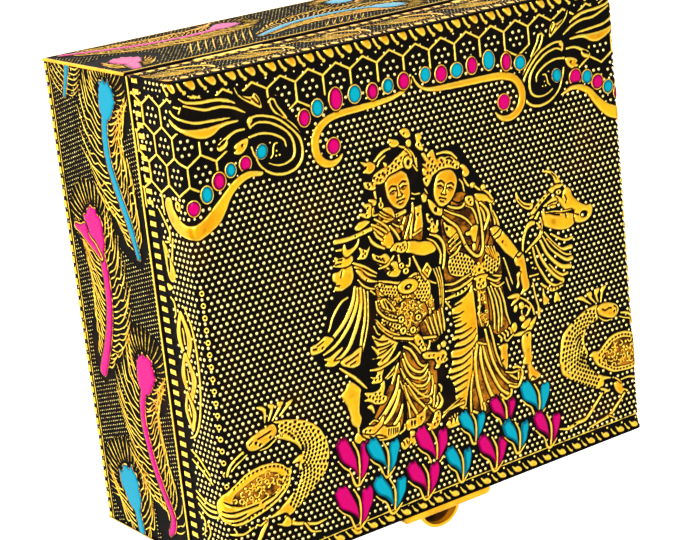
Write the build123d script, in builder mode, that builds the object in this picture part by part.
from build123d import *

import math
import os

# Hinged-lid wooden jewellery box, clad in embossed metal sheet and lined with
# velvet. Frame: X to the right along the front, Y towards the hinge side,
# Z up, origin at the middle of the underside. The lid is closed.

# ---------------------------------------------------------------- sizes, mm
W = 165.0  # outside width
D = 152.0  # outside depth, without the clasp
H = 76.5  # outside height
SPLIT = 52.0  # top edge of the base
GAP = 0.2  # daylight between base and lid
LID0 = SPLIT + GAP  # bottom edge of the lid

SKIN = 1.0  # embossed sheet, from its glued back to the tops of the relief
FELT = 0.8  # underside felt
WALL = 6.0  # wooden wall
FLOOR = 4.0  # floor panel
ROOF = 4.0  # lid panel
VELVET = 1.5  # velvet-covered card on the walls
PAD = 3.0  # padded velvet, floor and lid
FOLD_R = 3.0  # outside radius where the top sheet folds down the sides

CORE_X = W / 2 - SKIN  # half width of the wood
CORE_Y = D / 2 - SKIN  # half depth of the wood
IN_X = CORE_X - WALL
IN_Y = CORE_Y - WALL
ROOF0 = H - SKIN - ROOF

# hinge line: just inside the back face, in a V groove
AXIS_Y = D / 2 - 1.6
AXIS_Z = SPLIT + GAP / 2
GROOVE_DEG = 52.0
KNUCKLE_R = 1.25
PIN_R = 0.65
PIN_HOLE_R = 0.70
NOTCH_R = 1.50
HINGE_L = 24.0
HINGE_X = 48.0  # hinge centres at plus and minus this
LEAF_T = 0.75
LEAF_Y0 = IN_Y + 0.3
LEAF_CUT_Y = AXIS_Y - 1.5
MID_KNUCKLE = 3.95
SCREW_R = 0.8
SCREW_HEAD_R = 1.45
SCREW_L = 7.0
SCREW_DX = 8.0
SCREW_Y = 71.0

# clasp on the front
FRONT = -D / 2
CL_W = 35.0  # housing width
CL_D = 3.4  # housing depth
CL_T = 0.8  # brass sheet
CL_Z0 = 61.5
CL_Z1 = 73.6
EAR_X = 23.0
EAR_Z0, EAR_Z1 = 61.5, 67.5
PIVOT_Y = FRONT - 2.15
PIVOT_Z = 69.6
CPIN_R = 0.60
CPIN_HOLE_R = 0.65
LEVER_W = 13.4
LUG_X = 7.2  # inner face of each lug
LUG_T = 1.0

GROOVE_T = math.tan(math.radians(GROOVE_DEG))

os.makedirs("parts", exist_ok=True)


def groove_profile(up):
    """Half of the V groove behind the hinge line, in Y and Z, from its apex outwards."""
    reach = 3.0
    s = 1 if up else -1
    return [
        (AXIS_Y, AXIS_Z),
        (AXIS_Y + reach, AXIS_Z),
        (AXIS_Y + reach, AXIS_Z + s * reach * GROOVE_T),
    ]


def groove_cutter(up):
    """The half groove as a long prism, for cutting."""
    with BuildPart(mode=Mode.PRIVATE) as c:
        with BuildSketch(Plane.YZ.offset(-W)):
            with BuildLine():
                Polyline(*groove_profile(up), close=True)
            make_face()
        extrude(amount=2 * W)
    return c.part


def knuckle_cutter(x0, x1, r):
    """A cylinder along the hinge line."""
    return Pos((x0 + x1) / 2, AXIS_Y, AXIS_Z) * Rot(0, 90, 0) * Cylinder(
        r, x1 - x0, mode=Mode.PRIVATE
    )


def rod(y, z, r, length):
    """A cylinder along X, centred on x=0."""
    return Pos(0, y, z) * Rot(0, 90, 0) * Cylinder(r, length, mode=Mode.PRIVATE)


def bar(x0, x1, y0, y1, z0, z1):
    """A block between two corners."""
    return Pos((x0 + x1) / 2, (y0 + y1) / 2, (z0 + z1) / 2) * Box(
        x1 - x0, y1 - y0, z1 - z0, mode=Mode.PRIVATE
    )


groove_low = groove_cutter(False)
groove_high = groove_cutter(True)
notches = [
    knuckle_cutter(s * HINGE_X - HINGE_L / 2 - 0.3, s * HINGE_X + HINGE_L / 2 + 0.3, NOTCH_R)
    for s in (-1, 1)
]


def screw_body(grow=0.0, slot=True):
    """A small countersunk screw, head up at z=0, shank down."""
    head_h = LEAF_T
    with BuildPart(mode=Mode.PRIVATE) as s:
        with BuildSketch(Plane.XZ):
            with BuildLine():
                Polyline(
                    (0, grow),
                    (SCREW_HEAD_R + grow, grow),
                    (SCREW_HEAD_R + grow, -0.12),
                    (SCREW_R + grow, -head_h),
                    (SCREW_R + grow, -SCREW_L + 1.2),
                    (0, -SCREW_L - grow),
                    close=True,
                )
            make_face()
        revolve(axis=Axis.Z)
    body = s.part
    if slot:
        body = body - Box(0.35, 2 * SCREW_HEAD_R + 1, 0.6, mode=Mode.PRIVATE)
        body = body - Box(2 * SCREW_HEAD_R * 0.7, 0.35, 0.6, mode=Mode.PRIVATE)
    return body


def dome_screw(length, r_shank, r_head, h_head, slot=True):
    """A round-head screw pointing along +Y, its head's seat at y=0."""
    with BuildPart(mode=Mode.PRIVATE) as s:
        with BuildSketch(Plane.XY):
            with BuildLine():
                a = Polyline(
                    (0, -h_head),
                    (0, length),
                    (r_shank, length - 1.0),
                    (r_shank, 0),
                    (r_head, 0),
                    (r_head, -0.25 * h_head),
                )
                ThreePointArc(
                    (r_head, -0.25 * h_head),
                    (0.66 * r_head, -0.82 * h_head),
                    (0, -h_head),
                )
            make_face()
        revolve(axis=Axis.Y)
    body = s.part
    if slot:
        body = body - Pos(0, -h_head, 0) * Box(2.4 * r_head, 0.7, 0.4, mode=Mode.PRIVATE)
    return body


base_screw_places = [
    (s * HINGE_X + k * SCREW_DX, SCREW_Y) for s in (-1, 1) for k in (-1, 1)
]


# ============================================================ base, the wood
with BuildPart() as base_floor_panel:
    with BuildSketch(Plane.XY.offset(FELT)):
        Rectangle(2 * IN_X, 2 * IN_Y)
    extrude(amount=FLOOR)

with BuildPart() as base_front_wall:
    with BuildSketch(Plane.XY.offset(FELT)):
        with Locations((0, -CORE_Y + WALL / 2)):
            Rectangle(2 * CORE_X, WALL)
    extrude(amount=SPLIT - FELT)
    # pilot holes for the catch's screws
    for x in (-7.0, 7.0):
        with Locations(Pos(x, -CORE_Y, 43.5)):
            Cylinder(0.85, 10.4, rotation=(90, 0, 0), mode=Mode.SUBTRACT)

with BuildPart() as base_back_wall:
    with BuildSketch(Plane.XY.offset(FELT)):
        with Locations((0, CORE_Y - WALL / 2)):
            Rectangle(2 * CORE_X, WALL)
    extrude(amount=SPLIT - FELT)
    add(groove_low, mode=Mode.SUBTRACT)
    for n in notches:
        add(n, mode=Mode.SUBTRACT)
    # seats for the hinge leaves
    for s in (-1, 1):
        add(
            bar(
                s * HINGE_X - HINGE_L / 2 - 0.2,
                s * HINGE_X + HINGE_L / 2 + 0.2,
                IN_Y - 1,
                AXIS_Y + 0.1,
                SPLIT - LEAF_T - 0.05,
                SPLIT + 1,
            ),
            mode=Mode.SUBTRACT,
        )
    for x, y in base_screw_places:
        add(Pos(x, y, SPLIT) * screw_body(0.06, False), mode=Mode.SUBTRACT)

with BuildPart() as base_left_wall:
    with BuildSketch(Plane.XY.offset(FELT)):
        with Locations((-CORE_X + WALL / 2, 0)):
            Rectangle(WALL, 2 * IN_Y)
    extrude(amount=SPLIT - FELT)

with BuildPart() as base_right_wall:
    with BuildSketch(Plane.XY.offset(FELT)):
        with Locations((CORE_X - WALL / 2, 0)):
            Rectangle(WALL, 2 * IN_Y)
    extrude(amount=SPLIT - FELT)

# the underside's felt, a little inside the walls
with BuildPart() as underside_felt:
    with BuildSketch(Plane.XY):
        RectangleRounded(2 * CORE_X - 2.0, 2 * CORE_Y - 2.0, 3.0)
    extrude(amount=FELT)

# ========================================================= base, the cladding
SHEET_Z0 = 0.4

with BuildPart() as base_sheet_front:
    with BuildSketch(Plane.XY.offset(SHEET_Z0)):
        with Locations((0, -D / 2 + SKIN / 2)):
            Rectangle(W, SKIN)
    extrude(amount=SPLIT - SHEET_Z0)
    fillet(
        base_sheet_front.edges().filter_by(Axis.Z).group_by(Axis.Y)[0], radius=0.85
    )
    for x in (-7.0, 7.0):
        with Locations(Pos(x, -D / 2, 43.5)):
            Cylinder(0.85, 4, rotation=(90, 0, 0), mode=Mode.SUBTRACT)

with BuildPart() as base_sheet_back:
    with BuildSketch(Plane.XY.offset(SHEET_Z0)):
        with Locations((0, D / 2 - SKIN / 2)):
            Rectangle(W, SKIN)
    extrude(amount=SPLIT - SHEET_Z0)
    fillet(
        base_sheet_back.edges().filter_by(Axis.Z).group_by(Axis.Y)[-1], radius=0.85
    )
    add(groove_low, mode=Mode.SUBTRACT)
    for n in notches:
        add(n, mode=Mode.SUBTRACT)

with BuildPart() as base_sheet_left:
    with BuildSketch(Plane.XY.offset(SHEET_Z0)):
        with Locations((-W / 2 + SKIN / 2, 0)):
            Rectangle(SKIN, 2 * CORE_Y)
    extrude(amount=SPLIT - SHEET_Z0)
    add(groove_low, mode=Mode.SUBTRACT)

with BuildPart() as base_sheet_right:
    with BuildSketch(Plane.XY.offset(SHEET_Z0)):
        with Locations((W / 2 - SKIN / 2, 0)):
            Rectangle(SKIN, 2 * CORE_Y)
    extrude(amount=SPLIT - SHEET_Z0)
    add(groove_low, mode=Mode.SUBTRACT)

# ============================================================ base, the lining
LIN_TOP = SPLIT - 1.0
LIN_BOT = FELT + FLOOR + 0.1

with BuildPart() as base_floor_pad:
    with BuildSketch(Plane.XY.offset(LIN_BOT)):
        RectangleRounded(2 * (IN_X - VELVET) - 0.6, 2 * (IN_Y - VELVET) - 0.6, 1.5)
    extrude(amount=PAD)
    fillet(base_floor_pad.faces().sort_by(Axis.Z)[-1].edges(), radius=1.0)

with BuildPart() as base_lining_front:
    with BuildSketch(Plane.XY.offset(LIN_BOT)):
        with Locations((0, -IN_Y + VELVET / 2 + 0.03)):
            Rectangle(2 * IN_X - 0.2, VELVET - 0.06)
    extrude(amount=LIN_TOP - LIN_BOT)

with BuildPart() as base_lining_back:
    with BuildSketch(Plane.XY.offset(LIN_BOT)):
        with Locations((0, IN_Y - VELVET / 2 - 0.03)):
            Rectangle(2 * IN_X - 0.2, VELVET - 0.06)
    extrude(amount=LIN_TOP - LIN_BOT)

with BuildPart() as base_lining_left:
    with BuildSketch(Plane.XY.offset(LIN_BOT)):
        with Locations((-IN_X + VELVET / 2 + 0.03, 0)):
            Rectangle(VELVET - 0.06, 2 * (IN_Y - VELVET) - 0.2)
    extrude(amount=LIN_TOP - LIN_BOT)

with BuildPart() as base_lining_right:
    with BuildSketch(Plane.XY.offset(LIN_BOT)):
        with Locations((IN_X - VELVET / 2 - 0.03, 0)):
            Rectangle(VELVET - 0.06, 2 * (IN_Y - VELVET) - 0.2)
    extrude(amount=LIN_TOP - LIN_BOT)

# ============================================================= lid, the wood
with BuildPart() as lid_top_panel:
    with BuildSketch(Plane.XY.offset(ROOF0)):
        Rectangle(2 * CORE_X, 2 * CORE_Y)
    extrude(amount=ROOF)
    fillet(
        lid_top_panel.edges()
        .filter_by(Axis.Y)
        .group_by(Axis.Z)[-1],
        radius=FOLD_R - SKIN,
    )

with BuildPart() as lid_front_rail:
    with BuildSketch(Plane.XY.offset(LID0)):
        with Locations((0, -CORE_Y + WALL / 2)):
            Rectangle(2 * CORE_X, WALL)
    extrude(amount=ROOF0 - LID0)
    for x in (-20.2, 20.2):
        with Locations(Pos(x, -CORE_Y, 64.5)):
            Cylinder(0.85, 11.0, rotation=(90, 0, 0), mode=Mode.SUBTRACT)

with BuildPart() as lid_back_rail:
    with BuildSketch(Plane.XY.offset(LID0)):
        with Locations((0, CORE_Y - WALL / 2)):
            Rectangle(2 * CORE_X, WALL)
    extrude(amount=ROOF0 - LID0)
    add(groove_high, mode=Mode.SUBTRACT)
    for n in notches:
        add(n, mode=Mode.SUBTRACT)
    for s in (-1, 1):
        add(
            bar(
                s * HINGE_X - HINGE_L / 2 - 0.2,
                s * HINGE_X + HINGE_L / 2 + 0.2,
                IN_Y - 1,
                AXIS_Y + 0.1,
                LID0 - 1,
                LID0 + LEAF_T + 0.05,
            ),
            mode=Mode.SUBTRACT,
        )
    for x, y in base_screw_places:
        add(
            Pos(x, y, LID0) * Rot(180, 0, 0) * screw_body(0.06, False),
            mode=Mode.SUBTRACT,
        )

with BuildPart() as lid_left_rail:
    with BuildSketch(Plane.XY.offset(LID0)):
        with Locations((-CORE_X + WALL / 2, 0)):
            Rectangle(WALL, 2 * IN_Y)
    extrude(amount=ROOF0 - LID0)

with BuildPart() as lid_right_rail:
    with BuildSketch(Plane.XY.offset(LID0)):
        with Locations((CORE_X - WALL / 2, 0)):
            Rectangle(WALL, 2 * IN_Y)
    extrude(amount=ROOF0 - LID0)

# ========================================================== lid, the cladding
# one sheet over the top, folded down the left and right sides
with BuildPart() as lid_sheet_top:
    with BuildSketch(Plane.XZ.offset(-CORE_Y)):
        with Locations((0, (LID0 + H) / 2)):
            Rectangle(W, H - LID0)
    extrude(amount=2 * CORE_Y)
    fillet(
        lid_sheet_top.edges().filter_by(Axis.Y).group_by(Axis.Z)[-1], radius=FOLD_R
    )
    with BuildPart(mode=Mode.PRIVATE) as core:
        with BuildSketch(Plane.XY.offset(LID0 - 5)):
            Rectangle(2 * CORE_X, 2 * CORE_Y + 10)
        extrude(amount=H - SKIN - LID0 + 5)
        fillet(
            core.edges().filter_by(Axis.Y).group_by(Axis.Z)[-1],
            radius=FOLD_R - SKIN,
        )
    add(core.part, mode=Mode.SUBTRACT)
    add(groove_high, mode=Mode.SUBTRACT)

with BuildPart() as lid_sheet_front:
    with BuildSketch(Plane.XY.offset(LID0)):
        with Locations((0, -D / 2 + SKIN / 2)):
            Rectangle(W, SKIN)
    extrude(amount=H - LID0)
    fillet(
        lid_sheet_front.edges().filter_by(Axis.Y).group_by(Axis.Z)[-1],
        radius=FOLD_R,
    )
    for x in (-20.2, 20.2):
        with Locations(Pos(x, -D / 2, 64.5)):
            Cylinder(0.85, 4, rotation=(90, 0, 0), mode=Mode.SUBTRACT)

with BuildPart() as lid_sheet_back:
    with BuildSketch(Plane.XY.offset(LID0)):
        with Locations((0, D / 2 - SKIN / 2)):
            Rectangle(W, SKIN)
    extrude(amount=H - LID0)
    fillet(
        lid_sheet_back.edges().filter_by(Axis.Y).group_by(Axis.Z)[-1],
        radius=FOLD_R,
    )
    add(groove_high, mode=Mode.SUBTRACT)
    for n in notches:
        add(n, mode=Mode.SUBTRACT)

# ============================================================ lid, the lining
LID_LIN0 = LID0 + 1.0
LID_LIN1 = ROOF0 - 0.1

with BuildPart() as lid_roof_pad:
    with BuildSketch(Plane.XY.offset(LID_LIN1 - PAD)):
        RectangleRounded(2 * (IN_X - VELVET) - 0.6, 2 * (IN_Y - VELVET) - 0.6, 1.5)
    extrude(amount=PAD)
    fillet(lid_roof_pad.faces().sort_by(Axis.Z)[0].edges(), radius=1.0)

with BuildPart() as lid_lining_front:
    with BuildSketch(Plane.XY.offset(LID_LIN0)):
        with Locations((0, -IN_Y + VELVET / 2 + 0.03)):
            Rectangle(2 * IN_X - 0.2, VELVET - 0.06)
    extrude(amount=LID_LIN1 - LID_LIN0)

with BuildPart() as lid_lining_back:
    with BuildSketch(Plane.XY.offset(LID_LIN0)):
        with Locations((0, IN_Y - VELVET / 2 - 0.03)):
            Rectangle(2 * IN_X - 0.2, VELVET - 0.06)
    extrude(amount=LID_LIN1 - LID_LIN0)

with BuildPart() as lid_lining_left:
    with BuildSketch(Plane.XY.offset(LID_LIN0)):
        with Locations((-IN_X + VELVET / 2 + 0.03, 0)):
            Rectangle(VELVET - 0.06, 2 * (IN_Y - VELVET) - 0.2)
    extrude(amount=LID_LIN1 - LID_LIN0)

with BuildPart() as lid_lining_right:
    with BuildSketch(Plane.XY.offset(LID_LIN0)):
        with Locations((IN_X - VELVET / 2 - 0.03, 0)):
            Rectangle(VELVET - 0.06, 2 * (IN_Y - VELVET) - 0.2)
    extrude(amount=LID_LIN1 - LID_LIN0)


# ================================================================== hinges
def hinge_base_leaf(cx):
    """The leaf let into the base, with the two outer knuckles."""
    with BuildPart(mode=Mode.PRIVATE) as leaf:
        add(
            bar(
                cx - HINGE_L / 2, cx + HINGE_L / 2, LEAF_Y0, LEAF_CUT_Y,
                SPLIT - LEAF_T, SPLIT,
            )
        )
        for s in (-1, 1):
            x0, x1 = sorted((cx + s * (MID_KNUCKLE + 0.15), cx + s * HINGE_L / 2))
            add(bar(x0, x1, LEAF_CUT_Y - 0.5, AXIS_Y, SPLIT - LEAF_T, SPLIT))
            add(knuckle_cutter(x0, x1, KNUCKLE_R))
        add(
            knuckle_cutter(cx - HINGE_L, cx + HINGE_L, PIN_HOLE_R),
            mode=Mode.SUBTRACT,
        )
        for k in (-1, 1):
            add(
                Pos(cx + k * SCREW_DX, SCREW_Y, SPLIT) * screw_body(0.03, False),
                mode=Mode.SUBTRACT,
            )
    return leaf.part


def hinge_lid_leaf(cx):
    """The leaf let into the lid, with the middle knuckle."""
    with BuildPart(mode=Mode.PRIVATE) as leaf:
        add(
            bar(
                cx - HINGE_L / 2, cx + HINGE_L / 2, LEAF_Y0, LEAF_CUT_Y,
                LID0, LID0 + LEAF_T,
            )
        )
        add(
            bar(
                cx - MID_KNUCKLE, cx + MID_KNUCKLE, LEAF_CUT_Y - 0.5, AXIS_Y,
                LID0, LID0 + LEAF_T,
            )
        )
        add(knuckle_cutter(cx - MID_KNUCKLE, cx + MID_KNUCKLE, KNUCKLE_R))
        add(
            knuckle_cutter(cx - HINGE_L, cx + HINGE_L, PIN_HOLE_R),
            mode=Mode.SUBTRACT,
        )
        for k in (-1, 1):
            add(
                Pos(cx + k * SCREW_DX, SCREW_Y, LID0)
                * Rot(180, 0, 0)
                * screw_body(0.03, False),
                mode=Mode.SUBTRACT,
            )
    return leaf.part


def hinge_pin(cx):
    """The pin, with slightly rounded ends."""
    with BuildPart(mode=Mode.PRIVATE) as pin:
        add(knuckle_cutter(cx - HINGE_L / 2 - 0.1, cx + HINGE_L / 2 + 0.1, PIN_R))
        fillet(pin.edges().filter_by(GeomType.CIRCLE), radius=0.25)
    return pin.part


with BuildPart() as hinge_left_base_leaf:
    add(hinge_base_leaf(-HINGE_X))
with BuildPart() as hinge_left_lid_leaf:
    add(hinge_lid_leaf(-HINGE_X))
with BuildPart() as hinge_left_pin:
    add(hinge_pin(-HINGE_X))
with BuildPart() as hinge_right_base_leaf:
    add(hinge_base_leaf(HINGE_X))
with BuildPart() as hinge_right_lid_leaf:
    add(hinge_lid_leaf(HINGE_X))
with BuildPart() as hinge_right_pin:
    add(hinge_pin(HINGE_X))

with BuildPart() as hinge_base_screws:
    for x, y in base_screw_places:
        add(Pos(x, y, SPLIT) * screw_body(0.0))

with BuildPart() as hinge_lid_screws:
    for x, y in base_screw_places:
        add(Pos(x, y, LID0) * Rot(180, 0, 0) * screw_body(0.0))

# =================================================================== clasp
# Housing: a pressed brass box, closed on top, open below, with an ear on each
# side for its screws and two lugs inside that carry the lever's pin.
HY0 = FRONT - CL_D  # outermost face
with BuildPart() as clasp_housing:
    with BuildSketch(Plane.XY.offset(CL_Z0)):
        with BuildLine():
            r = 1.6
            Polyline(
                (-CL_W / 2 + r, HY0), (CL_W / 2 - r, HY0),
            )
            ThreePointArc(
                (CL_W / 2 - r, HY0),
                (CL_W / 2 - r + r * math.sin(math.pi / 4), HY0 + r - r * math.cos(math.pi / 4)),
                (CL_W / 2, HY0 + r),
            )
            Polyline((CL_W / 2, HY0 + r), (CL_W / 2, FRONT), (-CL_W / 2, FRONT), (-CL_W / 2, HY0 + r))
            ThreePointArc(
                (-CL_W / 2, HY0 + r),
                (-CL_W / 2 + r - r * math.sin(math.pi / 4), HY0 + r - r * math.cos(math.pi / 4)),
                (-CL_W / 2 + r, HY0),
            )
        make_face()
    extrude(amount=CL_Z1 - CL_Z0)
    # a soft outer top edge
    fillet(
        clasp_housing.faces().sort_by(Axis.Z)[-1].edges().group_by(Axis.Y)[0],
        radius=0.7,
    )
    # the hollow
    add(
        bar(
            -CL_W / 2 + CL_T + 1.2, CL_W / 2 - CL_T - 1.2, HY0 + CL_T, FRONT - CL_T,
            CL_Z0 - 1, CL_Z1 - CL_T,
        ),
        mode=Mode.SUBTRACT,
    )
    # the ears
    add(bar(-EAR_X, -CL_W / 2 + 1, FRONT - CL_T, FRONT, EAR_Z0, EAR_Z1))
    add(bar(CL_W / 2 - 1, EAR_X, FRONT - CL_T, FRONT, EAR_Z0, EAR_Z1))
    # the lugs
    for s in (-1, 1):
        x0, x1 = sorted((s * LUG_X, s * (LUG_X + LUG_T)))
        add(bar(x0, x1, HY0 + 0.1, FRONT - 0.4, PIVOT_Z - 2.4, CL_Z1 - 0.4))
    # slot for the lever in the front wall
    add(
        bar(
            -LUG_X, LUG_X, HY0 - 1, HY0 + CL_T + 0.4, CL_Z0 - 1, CL_Z1 - CL_T,
        ),
        mode=Mode.SUBTRACT,
    )
    # pin hole
    add(
        rod(PIVOT_Y, PIVOT_Z, CPIN_HOLE_R, 2 * (LUG_X + LUG_T) + 2),
        mode=Mode.SUBTRACT,
    )
    # screw holes in the ears
    for x in (-20.2, 20.2):
        with Locations(Pos(x, FRONT, 64.5)):
            Cylinder(0.95, 4, rotation=(90, 0, 0), mode=Mode.SUBTRACT)

with BuildPart() as clasp_pin:
    add(rod(PIVOT_Y, PIVOT_Z, CPIN_R, 2 * (LUG_X + LUG_T) + 1.0))

# Lever: a barrel on the pin, an arm hanging over the catch, and a dished
# finger lip that stands out below the housing.
ARM_T = 0.9
ARM_Y = PIVOT_Y - 1.0  # the arm's inner face
ARM_Z0 = 44.0
ROUND_R = 6.1  # the arm's rounded foot
CUP_R = 7.5
CUP_Y = HY0 - 0.15  # centre of the lip's round
CUP_STRETCH = 0.875
CUP_Z0, CUP_Z1 = 62.8, 69.0
with BuildPart() as clasp_lever:
    # barrel
    add(rod(PIVOT_Y, PIVOT_Z, 1.25, LEVER_W + 0.6))
    # neck between the barrel and the arm
    add(bar(-6.0, 6.0, ARM_Y - 0.5, PIVOT_Y - 0.85, PIVOT_Z - 1.0, PIVOT_Z + 0.5))
    # arm
    with BuildSketch(Plane.XZ.offset(-ARM_Y)):
        with Locations((0, (PIVOT_Z + ARM_Z0 + ROUND_R) / 2)):
            Rectangle(LEVER_W - 1.4, PIVOT_Z - ARM_Z0 - ROUND_R)
        with Locations((0, ARM_Z0 + ROUND_R)):
            Circle(ROUND_R - 0.7)
    extrude(amount=ARM_T)
    # finger lip: a half bowl, open on top
    with BuildSketch(Plane.XY.offset(CUP_Z0)):
        with Locations((0, CUP_Y)):
            Ellipse(CUP_R - 0.5, (CUP_R - 0.6) * CUP_STRETCH)
        with Locations((0, CUP_Y + 5)):
            Rectangle(4 * CUP_R, 10, mode=Mode.SUBTRACT)
    with BuildSketch(Plane.XY.offset(CUP_Z1)):
        with Locations((0, CUP_Y)):
            Ellipse(CUP_R + 0.5, (CUP_R + 0.5) * CUP_STRETCH)
        with Locations((0, CUP_Y + 5)):
            Rectangle(4 * CUP_R, 10, mode=Mode.SUBTRACT)
    loft()
    with BuildSketch(Plane.XY.offset(CUP_Z0 + 1.0)):
        with Locations((0, CUP_Y)):
            Ellipse(CUP_R - 1.4, (CUP_R - 1.6) * CUP_STRETCH)
        with Locations((0, CUP_Y + 5)):
            Rectangle(4 * CUP_R, 10, mode=Mode.SUBTRACT)
    with BuildSketch(Plane.XY.offset(CUP_Z1 + 0.2)):
        with Locations((0, CUP_Y)):
            Ellipse(CUP_R - 0.5, (CUP_R - 0.6) * CUP_STRETCH)
        with Locations((0, CUP_Y + 5)):
            Rectangle(4 * CUP_R, 10, mode=Mode.SUBTRACT)
    loft(mode=Mode.SUBTRACT)
    # web joining the bowl to the barrel
    add(bar(-5.6, 5.6, CUP_Y - 1.6, ARM_Y - 0.3, CUP_Z0, CUP_Z0 + 1.6))
    # bore
    add(
        rod(PIVOT_Y, PIVOT_Z, CPIN_HOLE_R, 3 * LEVER_W),
        mode=Mode.SUBTRACT,
    )

# Catch: a small plate on the base with a rounded ridge that the arm snaps over.
with BuildPart() as clasp_catch:
    with BuildSketch(Plane.XZ.offset(-FRONT)):
        with Locations((0, 43.5)):
            RectangleRounded(20.0, 11.0, 2.0)
    extrude(amount=CL_T)
    ridge_y = ARM_Y + 0.2
    add(bar(-3.0, 3.0, ridge_y + 1.2, FRONT - 0.4, 44.6, 47.0))
    with Locations(Pos(0, ridge_y + 1.2, 45.8)):
        Cylinder(1.2, 6.0, rotation=(0, 90, 0))
    for x in (-7.0, 7.0):
        with Locations(Pos(x, FRONT, 43.5)):
            Cylinder(0.95, 4, rotation=(90, 0, 0), mode=Mode.SUBTRACT)

with BuildPart() as clasp_housing_screws:
    for x in (-20.2, 20.2):
        add(Pos(x, FRONT - CL_T, 64.5) * dome_screw(6.0, 0.8, 1.8, 1.2))

with BuildPart() as clasp_catch_screws:
    for x in (-7.0, 7.0):
        add(Pos(x, FRONT - CL_T, 43.5) * dome_screw(5.6, 0.8, 1.7, 1.1))

# ============================================================ names and files
pieces = {
    "base_floor_panel": base_floor_panel,
    "base_front_wall": base_front_wall,
    "base_back_wall": base_back_wall,
    "base_left_wall": base_left_wall,
    "base_right_wall": base_right_wall,
    "underside_felt": underside_felt,
    "base_sheet_front": base_sheet_front,
    "base_sheet_back": base_sheet_back,
    "base_sheet_left": base_sheet_left,
    "base_sheet_right": base_sheet_right,
    "base_floor_pad": base_floor_pad,
    "base_lining_front": base_lining_front,
    "base_lining_back": base_lining_back,
    "base_lining_left": base_lining_left,
    "base_lining_right": base_lining_right,
    "lid_top_panel": lid_top_panel,
    "lid_front_rail": lid_front_rail,
    "lid_back_rail": lid_back_rail,
    "lid_left_rail": lid_left_rail,
    "lid_right_rail": lid_right_rail,
    "lid_sheet_top": lid_sheet_top,
    "lid_sheet_front": lid_sheet_front,
    "lid_sheet_back": lid_sheet_back,
    "lid_roof_pad": lid_roof_pad,
    "lid_lining_front": lid_lining_front,
    "lid_lining_back": lid_lining_back,
    "lid_lining_left": lid_lining_left,
    "lid_lining_right": lid_lining_right,
    "hinge_left_base_leaf": hinge_left_base_leaf,
    "hinge_left_lid_leaf": hinge_left_lid_leaf,
    "hinge_left_pin": hinge_left_pin,
    "hinge_right_base_leaf": hinge_right_base_leaf,
    "hinge_right_lid_leaf": hinge_right_lid_leaf,
    "hinge_right_pin": hinge_right_pin,
    "hinge_base_screws": hinge_base_screws,
    "hinge_lid_screws": hinge_lid_screws,
    "clasp_housing": clasp_housing,
    "clasp_pin": clasp_pin,
    "clasp_lever": clasp_lever,
    "clasp_catch": clasp_catch,
    "clasp_housing_screws": clasp_housing_screws,
    "clasp_catch_screws": clasp_catch_screws,
}
for name, made in pieces.items():
    made.part.label = name
    export_step(made.part, "parts/" + name + ".step")
